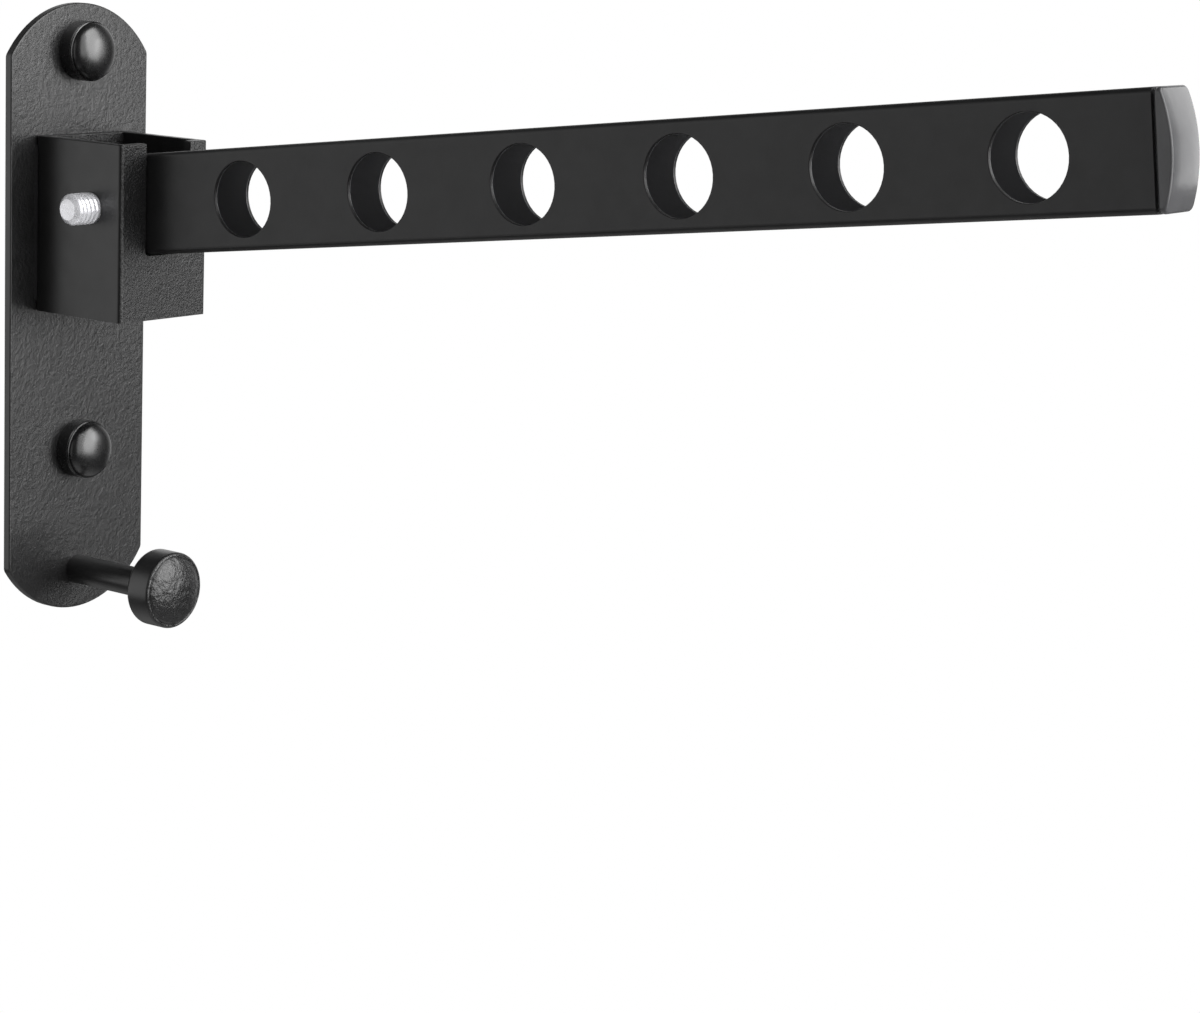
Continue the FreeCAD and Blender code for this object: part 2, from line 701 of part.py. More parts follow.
parts = [
    make_wall_plate(),
    make_pivot_bracket(),
    make_weld_bead("weld_bead_left", -1),
    make_weld_bead("weld_bead_right", 1),
    make_arm_tube(),
    make_arm_end_plug(),
    make_pivot_sleeve(),
    make_pivot_screw(),
    make_pivot_nut(),
    make_spring_washer(),
    make_peg_post(),
    make_peg_head(),
]
parts.extend(make_pivot_rings())
for place_name, fixing in (("upper", upper_fixing), ("lower", lower_fixing)):
    parts.append(make_cap_base("screw_cap_base_" + place_name, fixing))
    parts.append(make_cap_dome("screw_cap_dome_" + place_name, fixing))
doc.recompute()

# Nothing is written unless every object is sound and every sub-part is a whole solid
for thing in doc.Objects:
    if "Invalid" in thing.State or "Error" in thing.State:
        raise ValueError("%s failed: %s" % (thing.Name, thing.State))
for part in parts:
    if part.Shape.isNull() or not part.Shape.isValid() or not part.Shape.Solids:
        raise ValueError("%s has no sound shape" % part.Label)

os.makedirs("parts", exist_ok=True)
for part in parts:
    part.Shape.exportStep("parts/%s.step" % part.Label)
    print("%-22s solids %d  volume %10.2f mm3" % (part.Label, len(part.Shape.Solids), part.Shape.Volume))
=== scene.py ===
# %% [markdown]
# # A folding wall clothing rack, dressed for its picture
# The rack is steel: a plate that is screwed to a wall, a short square tube welded
# on it, and a flat arm with six holes that folds up in that tube. Nearly all of it
# is black, so this lesson is about how black things differ: a grainy powder coat, a
# smooth satin coat, glossy moulded caps, and one bright screw end among them.
# Blender could model the rack again from nothing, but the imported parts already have
# the right sizes and joints. So they are loaded as a fixed frame, and only what they
# leave out is made here: a real thread, a weld's ripples, and the finishes.

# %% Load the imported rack
import math

import bmesh
import bpy
from mathutils import Matrix, Vector


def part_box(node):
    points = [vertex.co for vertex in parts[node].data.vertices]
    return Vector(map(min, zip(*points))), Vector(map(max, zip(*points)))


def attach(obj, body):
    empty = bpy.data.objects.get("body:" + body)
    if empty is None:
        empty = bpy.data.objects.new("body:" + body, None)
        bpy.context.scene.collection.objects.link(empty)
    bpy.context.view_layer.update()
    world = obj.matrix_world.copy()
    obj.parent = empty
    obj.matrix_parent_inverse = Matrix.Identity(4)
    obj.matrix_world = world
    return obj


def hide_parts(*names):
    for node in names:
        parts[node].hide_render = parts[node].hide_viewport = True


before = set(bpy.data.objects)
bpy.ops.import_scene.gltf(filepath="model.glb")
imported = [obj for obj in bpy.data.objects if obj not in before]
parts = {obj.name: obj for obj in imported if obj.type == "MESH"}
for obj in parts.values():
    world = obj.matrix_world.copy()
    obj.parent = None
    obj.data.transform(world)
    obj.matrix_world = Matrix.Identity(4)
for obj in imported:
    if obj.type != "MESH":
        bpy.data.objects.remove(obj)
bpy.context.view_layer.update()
MM = 0.001

# %% [markdown]
# All places are measured from the frame's zero, which lies on the wall, midway between
# the two caps. The camera stands about 0.8 m from it, to the left of the arm, and looks
# down a little. That is near enough for the arm's free end to look larger than its
# root, and a long lens lets the rack fill the picture. A camera can be aimed with a
# Track To constraint, but here the turn, the dip and the tilt are known as three
# angles, and three rotations are easier to read and to change.

# %% Camera
CAMERA_PLACE = Vector((-548.3, -575.0, 96.6)) * MM
CAMERA_TURN, CAMERA_DIP, CAMERA_TILT = 53.201, 11.219, 2.338
FOCAL_LENGTH, SENSOR_WIDTH = 95.98, 36
lens = bpy.data.cameras.new("rack_camera")
lens.sensor_fit = "HORIZONTAL"
lens.sensor_width = SENSOR_WIDTH
lens.lens = FOCAL_LENGTH
camera = bpy.data.objects.new("rack_camera", lens)
bpy.context.scene.collection.objects.link(camera)
aim = (
    Matrix.Rotation(math.radians(-CAMERA_TURN), 4, "Z")
    @ Matrix.Rotation(math.radians(90 - CAMERA_DIP), 4, "X")
    @ Matrix.Rotation(math.radians(CAMERA_TILT), 4, "Z")
)
camera.matrix_world = Matrix.Translation(CAMERA_PLACE) @ aim
bpy.context.scene.camera = camera
bpy.context.scene.view_settings.view_transform = "Standard"
print("camera to the frame's zero, metres:", round(CAMERA_PLACE.length, 3))

# %% [markdown]
# A black object shows its shape by what it mirrors. One tall soft panel stands in
# front, about twenty degrees to the right, which draws the big highlight on the caps,
# lifts the faces that look forward, and throws the short shadows that lie left of the
# caps and the peg. Small lamps would give hard dots instead. A dimmer panel beside it
# makes the highlight fade out to the left. A small weak one near the arm's end lights
# the end of the plug, which grows lighter to the right.

# %% Soft panels
def soft_panel(name, turn, rise, away, width, height, watts):
    """A flat lamp that faces the rack, turned to the right from straight ahead."""
    lamp = bpy.data.lights.new(name, "AREA")
    lamp.shape = "RECTANGLE"
    lamp.size = width
    lamp.size_y = height
    lamp.energy = watts
    panel = bpy.data.objects.new(name, lamp)
    bpy.context.scene.collection.objects.link(panel)
    across, up = math.radians(turn), math.radians(rise)
    level = math.cos(up)
    toward = Vector((math.sin(across) * level, -math.cos(across) * level, math.sin(up)))
    facing = toward.to_track_quat("Z", "Y").to_matrix().to_4x4()
    panel.matrix_world = Matrix.Translation(toward * away) @ facing
    panel.visible_camera = False
    print(name, "stands at", [round(v, 2) for v in toward * away])


soft_panel("key_panel", turn=19.5, rise=24, away=1.3, width=0.95, height=2.0, watts=26.5)
soft_panel("fade_panel", turn=-15, rise=24, away=1.35, width=0.95, height=2.0, watts=9.5)
soft_panel("end_panel", turn=37, rise=11, away=0.48, width=0.14, height=0.19, watts=0.22)

# %% [markdown]
# The background is plain white. It could be a curved paper sweep, but the rack is also
# looked at from behind, where a sweep would hide it. So the world itself is white to
# the eye. In mirrors it is a white card that stands behind the rack and reaches a bit
# further round on the right, up to about thirty degrees high. Elsewhere it is dim, as
# in a room where only the background is lit. Where it only lights, it is a soft grey.

# %% Small node helpers
def ramp(nodes, links, value, start, end, low=0.0, high=1.0):
    """A socket that goes from low to high while the value goes from start to end."""
    step = nodes.new("ShaderNodeMapRange")
    step.inputs["From Min"].default_value = start
    step.inputs["From Max"].default_value = end
    step.inputs["To Min"].default_value = low
    step.inputs["To Max"].default_value = high
    links.new(value, step.inputs["Value"])
    return step.outputs["Result"]


def combine(nodes, links, how, one, other):
    """A socket with the sum, the product or the larger of two values."""
    result = nodes.new("ShaderNodeMath")
    result.operation = how
    links.new(one, result.inputs[0])
    links.new(other, result.inputs[1])
    return result.outputs["Value"]


def blend(nodes, links, share, one, other):
    """A shader that goes from one to the other while the share goes from 0 to 1."""
    mix = nodes.new("ShaderNodeMixShader")
    links.new(share, mix.inputs["Fac"])
    links.new(one, mix.inputs[1])
    links.new(other, mix.inputs[2])
    return mix.outputs["Shader"]


def met_by_eye(nodes, links, rays):
    """1 for what the eye meets, straight on or through something clear."""
    straight, through = rays.outputs["Is Camera Ray"], rays.outputs["Is Transmission Ray"]
    return combine(nodes, links, "MAXIMUM", straight, through)


print("node helpers:", [f.__name__ for f in (ramp, combine, blend, met_by_eye)])

# %% How bright the surroundings look in a mirror
DIM = 0.06
EXTRA_ON_THE_RIGHT = 0.15
CARD_STARTS, CARD_IS_FULL = -0.2, 0.4


def card_share(nodes, links, direction, edge, full):
    """0 where it is dim and 1 on the white card. The card ends at the height edge."""
    way = nodes.new("ShaderNodeSeparateXYZ")
    links.new(direction, way.inputs["Vector"])
    to_right = ramp(nodes, links, way.outputs["X"], 0.0, 1.0, 0.0, EXTRA_ON_THE_RIGHT)
    back = combine(nodes, links, "ADD", way.outputs["Y"], to_right)
    behind = ramp(nodes, links, back, CARD_STARTS, CARD_IS_FULL)
    level = ramp(nodes, links, way.outputs["Z"], edge, full)
    return combine(nodes, links, "MULTIPLY", behind, level)


print("mirrored surroundings go from", DIM, "to 1")

# %% White surroundings
LIGHTING_GREY = 0.22
AIR_CARD_EDGE, AIR_CARD_FULL = 0.62, 0.34
world = bpy.data.worlds.new("studio_air")
bpy.context.scene.world = world
world.use_nodes = True
air = world.node_tree.nodes
air_links = world.node_tree.links
air.clear()


def air_glow(strength):
    """A white background of that strength."""
    shader = air.new("ShaderNodeBackground")
    shader.inputs["Color"].default_value = (1, 1, 1, 1)
    shader.inputs["Strength"].default_value = strength
    return shader


rays = air.new("ShaderNodeLightPath")
seen, lighting, mirrored = air_glow(1.0), air_glow(LIGHTING_GREY), air_glow(1.0)
place = air.new("ShaderNodeTexCoord")
outward = place.outputs["Generated"]
air_card = card_share(air, air_links, outward, AIR_CARD_EDGE, AIR_CARD_FULL)
mirrored_strength = ramp(air, air_links, air_card, 0, 1, DIM, 1.0)
air_links.new(mirrored_strength, mirrored.inputs["Strength"])
print("the surroundings give", LIGHTING_GREY, "of white as light")

# %% Which surroundings each kind of ray meets
direct = met_by_eye(air, air_links, rays)
dim_air, white_air = lighting.outputs["Background"], seen.outputs["Background"]
card_air = mirrored.outputs["Background"]
by_mirror = blend(air, air_links, rays.outputs["Is Glossy Ray"], dim_air, card_air)
by_eye = blend(air, air_links, direct, by_mirror, white_air)
sky = air.new("ShaderNodeOutputWorld")
air_links.new(by_eye, sky.inputs["Surface"])
print("world nodes:", len(air))

# %% [markdown]
# The rack hangs on a wall, so the floor is well below it. The floor is a wide disc,
# pale and matt under the rack, where it takes a soft shadow. The panels don't reach
# its far edge, so there it fades to the white of the surroundings, by how far each
# point is from the rack. A flat emission shader everywhere would lose the shadow. In
# mirrors it goes on as the card behind does: white behind the rack, dim before it, and
# pale again straight below.

# %% Floor disc
FLOOR_DROP, FLOOR_RADIUS = 0.36, 5.0
floor_mesh = bpy.data.meshes.new("pale_floor")
disc = bmesh.new()
bmesh.ops.create_circle(disc, cap_ends=True, segments=96, radius=FLOOR_RADIUS)
bmesh.ops.translate(disc, verts=disc.verts, vec=(0, 0, -FLOOR_DROP))
disc.to_mesh(floor_mesh)
disc.free()
pale_floor = bpy.data.objects.new("pale_floor", floor_mesh)
bpy.context.scene.collection.objects.link(pale_floor)
print("floor lies", FLOOR_DROP, "m under the frame's zero")

# %% Where the floor fades to white
FADE_FROM, FADE_TO = 0.36, 0.56
matt_white = bpy.data.materials.new("matt_white")
matt_white.use_nodes = True
paint = matt_white.node_tree.nodes
paint_links = matt_white.node_tree.links
paint.clear()
floor_rays = paint.new("ShaderNodeLightPath")
looked_at = met_by_eye(paint, paint_links, floor_rays)
spot_on_floor = paint.new("ShaderNodeTexCoord")
far_off = paint.new("ShaderNodeVectorMath")
far_off.operation = "LENGTH"
paint_links.new(spot_on_floor.outputs["Object"], far_off.inputs[0])
fade = ramp(paint, paint_links, far_off.outputs["Value"], FADE_FROM, FADE_TO)
fade.node.interpolation_type = "SMOOTHSTEP"
fade_seen = combine(paint, paint_links, "MULTIPLY", fade, looked_at)
print("floor fades to white from", FADE_FROM, "to", FADE_TO, "m away")

# %% How the floor looks in a mirror
FLOOR_CARD_EDGE, FLOOR_CARD_FULL = -0.5, -0.28
BELOW_FROM, BELOW_TO, BELOW_SHARE = -0.6, -0.9, 0.45
way_there = paint.new("ShaderNodeVectorMath")
way_there.operation = "NORMALIZE"
height = paint.new("ShaderNodeSeparateXYZ")
paint_links.new(spot_on_floor.outputs["Object"], way_there.inputs[0])
to_floor = way_there.outputs["Vector"]
paint_links.new(to_floor, height.inputs["Vector"])
floor_card = card_share(paint, paint_links, to_floor, FLOOR_CARD_EDGE, FLOOR_CARD_FULL)
down = height.outputs["Z"]
right_below = ramp(paint, paint_links, down, BELOW_FROM, BELOW_TO, 0.0, BELOW_SHARE)
pale_part = combine(paint, paint_links, "MAXIMUM", floor_card, right_below)
print("in mirrors the floor is", BELOW_SHARE, "of the way to white straight below")

# %% Floor paint
FLOOR_GREY = 0.82
matt = paint.new("ShaderNodeBsdfDiffuse")
matt.inputs["Color"].default_value = (FLOOR_GREY, FLOOR_GREY, FLOOR_GREY, 1)
glow = paint.new("ShaderNodeEmission")
glow.inputs["Strength"].default_value = 1.0
in_mirrors = paint.new("ShaderNodeEmission")
floor_strength = ramp(paint, paint_links, pale_part, 0, 1, DIM, 1.0)
paint_links.new(floor_strength, in_mirrors.inputs["Strength"])
matt_paint, white_glow = matt.outputs["BSDF"], glow.outputs["Emission"]
floor_eye = blend(paint, paint_links, fade_seen, matt_paint, white_glow)
glossy, mirror_glow = floor_rays.outputs["Is Glossy Ray"], in_mirrors.outputs["Emission"]
floor_mirror = blend(paint, paint_links, glossy, floor_eye, mirror_glow)
floor_out = paint.new("ShaderNodeOutputMaterial")
paint_links.new(floor_mirror, floor_out.inputs["Surface"])
floor_mesh.materials.append(matt_white)
print("floor paint nodes:", len(paint))

# %% [markdown]
# Every coat on the rack is the same kind of thing: a colour, a shine, and a surface
# that is never quite even. Powder melts into tiny hills, rolled steel has faint waves,
# and moulded plastic is nearly flat. So one helper builds them all from numbers: a
# base colour with a little drift, a roughness with a little drift, and two sizes of
# bumps. The rack's powder is grainy only where it was sprayed head-on, from the front,
# and has flowed out smooth on the sides, so the bumps can be kept to faces that look
# forward. Image textures would do it too, but noise has no seams and needs no files.

# %% Speckles and greys
COOLER = 1.04


def speckle(nodes, links, spot, size_mm, detail, rough=0.5):
    """Soft noise whose spots are about that large."""
    cloud = nodes.new("ShaderNodeTexNoise")
    cloud.inputs["Scale"].default_value = 1.0 / (size_mm * MM)
    cloud.inputs["Detail"].default_value = detail
    cloud.inputs["Roughness"].default_value = rough
    links.new(spot, cloud.inputs["Vector"])
    return cloud.outputs["Fac"]


def grey(value):
    """A base colour that is a touch bluer than plain grey."""
    return (value, value, value * COOLER)


print("the darkest black:", grey(0.004))

# %% One helper for coats
TINT_SIZE, TINT_DETAIL, TINT_STOPS = 12.0, 4, (0.35, 0.65)
SHINE_SIZE, SHINE_DETAIL, SHINE_FROM, SHINE_TO = 4.0, 3, 0.3, 0.7
BUMP_DETAIL, BUMP_ROUGH = 4, 0.62
SIDEWAYS, FORWARD = -0.55, -0.80


def make_coat(
    name, dark, light, dull, uneven, hills, grain, metal=0.0, gloss=0.5, sides=1.0
):
    """dark and light are base colours, dull is the roughness and uneven its drift.
    hills and grain are (size, height) in mm. gloss is the specular level. sides is the
    share of the bumps that is left on faces that don't look forward."""
    coat = bpy.data.materials.new(name)
    coat.use_nodes = True
    nodes, links = coat.node_tree.nodes, coat.node_tree.links
    shader = nodes["Principled BSDF"]
    shader.inputs["Metallic"].default_value = metal
    shader.inputs["Specular IOR Level"].default_value = gloss
    place_on = nodes.new("ShaderNodeTexCoord")
    spot = place_on.outputs["Object"]
    tint = nodes.new("ShaderNodeValToRGB")
    for stop, at, colour in zip(tint.color_ramp.elements, TINT_STOPS, (dark, light)):
        stop.position = at
        stop.color = (*colour, 1)
    links.new(speckle(nodes, links, spot, TINT_SIZE, TINT_DETAIL), tint.inputs["Fac"])
    links.new(tint.outputs["Color"], shader.inputs["Base Color"])
    patches = speckle(nodes, links, spot, SHINE_SIZE, SHINE_DETAIL)
    least, most = dull - uneven, dull + uneven
    shine = ramp(nodes, links, patches, SHINE_FROM, SHINE_TO, least, most)
    links.new(shine, shader.inputs["Roughness"])
    if sides < 1.0:
        look = nodes.new("ShaderNodeSeparateXYZ")
        links.new(place_on.outputs["Normal"], look.inputs["Vector"])
        facing = ramp(nodes, links, look.outputs["Y"], SIDEWAYS, FORWARD, sides, 1.0)
    shape = None
    for size_mm, height_mm in (hills, grain):
        bump = nodes.new("ShaderNodeBump")
        bump.inputs["Distance"].default_value = height_mm * MM
        if sides < 1.0:
            links.new(facing, bump.inputs["Strength"])
        bumps = speckle(nodes, links, spot, size_mm, BUMP_DETAIL, BUMP_ROUGH)
        links.new(bumps, bump.inputs["Height"])
        if shape:
            links.new(shape, bump.inputs["Normal"])
        shape = bump.outputs["Normal"]
    links.new(shape, shader.inputs["Normal"])
    print(name, "roughness", dull, "hills", hills, "grain", grain)
    return coat


# %% [markdown]
# The plate, the tube and the peg share a grainy powder coat, with the coarsest hills on
# the peg. The arm's coat is smoother. The caps are glossy black plastic, and the plug
# is a dark grey one. All the blacks have nearly the same base colour, so it is gloss,
# roughness and grain that set them apart. One black for all would be simpler, but the
# parts would run together.

# %% Black coats and plastics
plate_powder = make_coat(
    "plate_powder", grey(0.004), grey(0.006), dull=0.38, uneven=0.03,
    hills=(1.3, 0.14), grain=(0.6, 0.05), gloss=0.79, sides=0.1,
)
tube_powder = make_coat(
    "tube_powder", grey(0.004), grey(0.005), dull=0.34, uneven=0.03,
    hills=(0.9, 0.15), grain=(0.45, 0.08), gloss=0.62, sides=0.02,
)
arm_satin = make_coat(
    "arm_satin", grey(0.008), grey(0.011), dull=0.38, uneven=0.03,
    hills=(3.0, 0.03), grain=(0.5, 0.008), gloss=0.42,
)
peg_powder = make_coat(
    "peg_powder", grey(0.005), grey(0.007), dull=0.34, uneven=0.03,
    hills=(2.6, 0.60), grain=(1.0, 0.10), gloss=0.82, sides=0.02,
)
cap_gloss = make_coat(
    "cap_gloss", grey(0.004), grey(0.006), dull=0.27, uneven=0.02,
    hills=(5.0, 0.02), grain=(0.6, 0.002), gloss=1.0,
)
plug_moulding = make_coat(
    "plug_moulding", grey(0.056), grey(0.070), dull=0.20, uneven=0.02,
    hills=(3.0, 0.02), grain=(0.4, 0.002), gloss=0.42,
)
weld_powder = make_coat(
    "weld_powder", grey(0.006), grey(0.009), dull=0.65, uneven=0.03,
    hills=(1.2, 0.04), grain=(0.5, 0.01), gloss=0.12,
)

# %% [markdown]
# The coat on the arm is outside only. Through the holes one looks at the inside of the
# tube, which gets a lighter grey than the coat: partly the bare steel there, and partly
# painted light, for the light that falls in through the holes onto the far wall. A second
# material would need faces of its own, and the imported arm's faces aren't changed here.
# So the arm's coat asks where each point is: within the walls, measured across the arm
# and square to its slope, it takes that lighter grey.

# %% Inside of the arm: bare steel and painted light
ARM_TILT = math.radians(7.5)
# The inside's grey is partly bare steel and partly painted light from the holes.
INSIDE_HALF_WIDTH, INSIDE_HALF_HEIGHT, BARE_AND_LIT_GREY = 5.0, 11.2, 0.15
# A Mix node keeps its two colours and its mixed colour at these places.
COLOUR_A, COLOUR_B, COLOUR_OUT = 6, 7, 2


def bare_and_lit_within(coat, middle, half_width, half_height, bare_and_lit):
    """Give the coat another base colour in a tilted box of that half size, in mm.
    That colour is partly bare steel and partly painted light.
    """
    nodes, links = coat.node_tree.nodes, coat.node_tree.links
    shader = nodes["Principled BSDF"]
    spot = nodes.new("ShaderNodeTexCoord")
    from_middle = nodes.new("ShaderNodeVectorMath")
    from_middle.operation = "SUBTRACT"
    from_middle.inputs[1].default_value = middle * MM
    links.new(spot.outputs["Object"], from_middle.inputs[0])
    square_to_arm = (0, math.sin(ARM_TILT), math.cos(ARM_TILT))
    within = []
    for way_out, half in (((1, 0, 0), half_width), (square_to_arm, half_height)):
        along = nodes.new("ShaderNodeVectorMath")
        along.operation = "DOT_PRODUCT"
        along.inputs[1].default_value = way_out
        size = nodes.new("ShaderNodeMath")
        size.operation = "ABSOLUTE"
        inside = nodes.new("ShaderNodeMath")
        inside.operation = "LESS_THAN"
        inside.inputs[1].default_value = half * MM
        links.new(from_middle.outputs["Vector"], along.inputs[0])
        links.new(along.outputs["Value"], size.inputs[0])
        links.new(size.outputs["Value"], inside.inputs[0])
        within.append(inside.outputs["Value"])
    both = combine(nodes, links, "MULTIPLY", *within)
    colour = nodes.new("ShaderNodeMix")
    colour.data_type = "RGBA"
    coated = shader.inputs["Base Color"].links[0].from_socket
    links.new(both, colour.inputs["Factor"])
    links.new(coated, colour.inputs[COLOUR_A])
    colour.inputs[COLOUR_B].default_value = (*bare_and_lit, 1)
    links.new(colour.outputs[COLOUR_OUT], shader.inputs["Base Color"])
    print(coat.name, "is bare within", half_width, "by", half_height, "mm")


screw_low, screw_high = (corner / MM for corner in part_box("pivot_screw"))
pivot = Vector((0, (screw_low.y + screw_high.y) / 2, (screw_low.z + screw_high.z) / 2))
# The arm's inside gets the lighter grey: partly bare steel, partly painted light.
bare_and_lit_within(arm_satin, pivot, INSIDE_HALF_WIDTH, INSIDE_HALF_HEIGHT, grey(BARE_AND_LIT_GREY))

# %% [markdown]
# The screw, its washers and the sleeve are bare or zinc-plated steel. Bare steel is
# metal all through: its colour is the colour of its mirror image. The bright zinc is
# only half metal here. Its other half is a plain pale colour, which stays bright where
# the mirror image is dim. The rings beside the arm are milky nylon, which is a plain
# pale plastic with a soft shine.

# %% Steel and nylon
bright_zinc = make_coat(
    "bright_zinc", grey(0.93), grey(0.97), dull=0.28, uneven=0.04,
    hills=(1.5, 0.01), grain=(0.3, 0.002), metal=0.5, gloss=1.0,
)
bare_steel = make_coat(
    "bare_steel", grey(0.38), grey(0.46), dull=0.40, uneven=0.06,
    hills=(2.0, 0.03), grain=(0.3, 0.006), metal=1.0,
)
milky_nylon = make_coat(
    "milky_nylon", (0.72, 0.71, 0.67), (0.78, 0.77, 0.73), dull=0.42, uneven=0.04,
    hills=(3.0, 0.03), grain=(0.4, 0.004),
)

# %% [markdown]
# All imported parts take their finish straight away, also those that get a new skin
# further down. A part comes with a plain material in its slot, so the slot is emptied
# before the new one goes in.

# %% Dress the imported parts
def dress(coat, *names):
    """Put the coat on the named parts."""
    for name in names:
        parts[name].data.materials.clear()
        parts[name].data.materials.append(coat)


dress(plate_powder, "wall_plate")
dress(tube_powder, "pivot_bracket")
dress(weld_powder, "weld_bead_left", "weld_bead_right")
dress(arm_satin, "arm_tube")
dress(plug_moulding, "arm_end_plug")
dress(peg_powder, "peg_post", "peg_head")
dress(cap_gloss, "screw_cap_base_upper", "screw_cap_base_lower")
dress(cap_gloss, "screw_cap_dome_upper", "screw_cap_dome_lower")
dress(bright_zinc, "pivot_screw", "head_washer", "spring_washer")
dress(bare_steel, "pivot_sleeve", "pivot_nut")
dress(milky_nylon, "nylon_washer", "nylon_spacer")
print("dressed:", sum(bool(p.data.materials) for p in parts.values()), "parts")

# %% [markdown]
# The new shapes are all skins over a row of rings, as a boat's hull is a skin over its
# frames. The rings of a shape all have the same number of points, so the faces between
# them have four sides. A Screw or Skin modifier could do some of the shapes, but rings
# also make the thread, the rounded oblong of the plug and the ripples of a weld, with
# one helper for all.

# %% One helper for skins over rings
SAME_POINT = 0.0004
CREASE = 32


def skin_over(name, rings, coat, body, stands_for, crease=CREASE):
    """A closed skin over rings of points in mm, with the first and last ring filled.
    Edges that turn by more than crease degrees stay sharp."""
    shell = bmesh.new()
    loops = [[shell.verts.new(Vector(p) * MM) for p in ring] for ring in rings]
    for low, high in zip(loops, loops[1:]):
        for i in range(len(low)):
            j = (i + 1) % len(low)
            shell.faces.new((low[i], low[j], high[j], high[i]))
    shell.faces.new(reversed(loops[0]))
    shell.faces.new(loops[-1])
    bmesh.ops.remove_doubles(shell, verts=shell.verts, dist=SAME_POINT * MM)
    bmesh.ops.recalc_face_normals(shell, faces=shell.faces)
    mesh = bpy.data.meshes.new(name)
    shell.to_mesh(mesh)
    shell.free()
    mesh.polygons.foreach_set("use_smooth", [True] * len(mesh.polygons))
    mesh.set_sharp_from_angle(angle=math.radians(crease))
    mesh.materials.append(coat)
    piece = bpy.data.objects.new(name, mesh)
    bpy.context.scene.collection.objects.link(piece)
    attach(piece, body)
    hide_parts(*stands_for)
    print(name, "has", len(mesh.polygons), "faces")


print("edges over", CREASE, "degrees stay sharp, unless a skin says otherwise")

# %% [markdown]
# The screw's end stands out of the bracket's left side and shows its thread, which
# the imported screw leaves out. A thread is a groove that winds round the shank, so the
# radius depends on both the place along the screw and the turn. The thread could be
# cut with a Boolean, but a ring skin whose radius follows one formula stays clean. It
# fades out where the shank is plain, and the end is bevelled so that a nut can start.

# %% The screw's measures
PITCH, THREAD_DEPTH, THREAD_END = 1.3, 0.24, -5.0
SHANK_RADIUS = 3.8
END_RADIUS, END_LENGTH = 2.5, 1.5
HEAD_HEIGHT, HEAD_RIM, HEAD_DOME = 3.6, 0.8, 2.8
head_radius = (screw_high.z - screw_low.z) / 2
head_from = screw_high.x - HEAD_HEIGHT
thread_from, thread_to = screw_low.x, THREAD_END
print("turns of thread:", round((thread_to - thread_from) / PITCH, 1))

# %% Rings round the screw's axis
AROUND = 72


def ring_on_x(x, radius_at):
    """A ring round the screw's axis. radius_at gives the radius for each turn."""
    ring = []
    for i in range(AROUND):
        turn = 2 * math.pi * i / AROUND
        r = radius_at(turn)
        ring.append((x, pivot.y + r * math.cos(turn), pivot.z + r * math.sin(turn)))
    return ring


def round_of(radius):
    """The same radius at each turn."""
    return lambda turn: radius


def hexagon(across):
    """The radius of a hexagon at each turn, measured across its flats."""
    side, half_side = math.pi / 3, math.pi / 6
    return lambda turn: across / 2 / math.cos((turn + half_side) % side - half_side)


print("points in a ring:", len(ring_on_x(head_from, round_of(head_radius))))

# %% Where the thread's surface lies
PLAIN_SHARE = 0.6
FLANK_SLOPE, FLANK_SHIFT = 1.7, 0.35


def thread_radius(x):
    """The thread's outside at x: crest and root are flat, flanks slope between."""
    fade_out = min(1.0, max(0.0, (thread_to - x) / PITCH))
    fade_in = min(1.0, max(0.0, (x - thread_from - PLAIN_SHARE * END_LENGTH) / PITCH))
    rounding = math.sin(math.pi / 2 * min(1.0, (x - thread_from) / END_LENGTH))
    full = END_RADIUS + (SHANK_RADIUS - END_RADIUS) * rounding

    def radius_at(turn):
        share = ((x - thread_from) / PITCH - turn / (2 * math.pi)) % 1.0
        flank = min(1.0, max(0.0, abs(share * 2 - 1) * FLANK_SLOPE - FLANK_SHIFT))
        return full - THREAD_DEPTH * flank * fade_out * fade_in

    return radius_at


print("radius at the screw's very end:", thread_radius(thread_from)(0))

# %% Screw with a real thread
END_DISH = ((0.12, 0.55), (0.03, 0.25))
STEPS_PER_TURN = 12
HEAD_EASE, TOP_RADIUS = 0.2, 3.1
DOME_SHARES = (0.15, 0.3, 0.45, 0.6, 0.75, 0.9, 1.0)
SOCKET_MOUTH, SOCKET_ACROSS = 4.3, 4.0
SOCKET_EASE, SOCKET_DEPTH = 0.2, 2.2
SOCKET_TIP, TIP_RADIUS = 3.0, 0.4
rings = []
for depth, less in END_DISH:
    rings.append(ring_on_x(thread_from + depth, round_of(END_RADIUS - less)))
steps = round((thread_to - thread_from) / PITCH * STEPS_PER_TURN)
for i in range(steps + 1):
    x = thread_from + (thread_to - thread_from) * i / steps
    rings.append(ring_on_x(x, thread_radius(x)))
rings.append(ring_on_x(head_from, round_of(SHANK_RADIUS)))
rings.append(ring_on_x(head_from, round_of(head_radius - HEAD_EASE)))
rings.append(ring_on_x(head_from + HEAD_EASE, round_of(head_radius)))
rings.append(ring_on_x(head_from + HEAD_RIM, round_of(head_radius)))
for share in DOME_SHARES:
    bend = share * math.pi / 2
    radius = TOP_RADIUS + (head_radius - TOP_RADIUS) * math.cos(bend)
    x = head_from + HEAD_RIM + HEAD_DOME * math.sin(bend)
    rings.append(ring_on_x(x, round_of(radius)))
rings.append(ring_on_x(screw_high.x, hexagon(SOCKET_MOUTH)))
rings.append(ring_on_x(screw_high.x - SOCKET_EASE, hexagon(SOCKET_ACROSS)))
rings.append(ring_on_x(screw_high.x - SOCKET_DEPTH, hexagon(SOCKET_ACROSS)))
rings.append(ring_on_x(screw_high.x - SOCKET_TIP, round_of(TIP_RADIUS)))
skin_over(
    "threaded_screw", rings, bright_zinc, "wall_side",
    stands_for=["pivot_screw"],
)

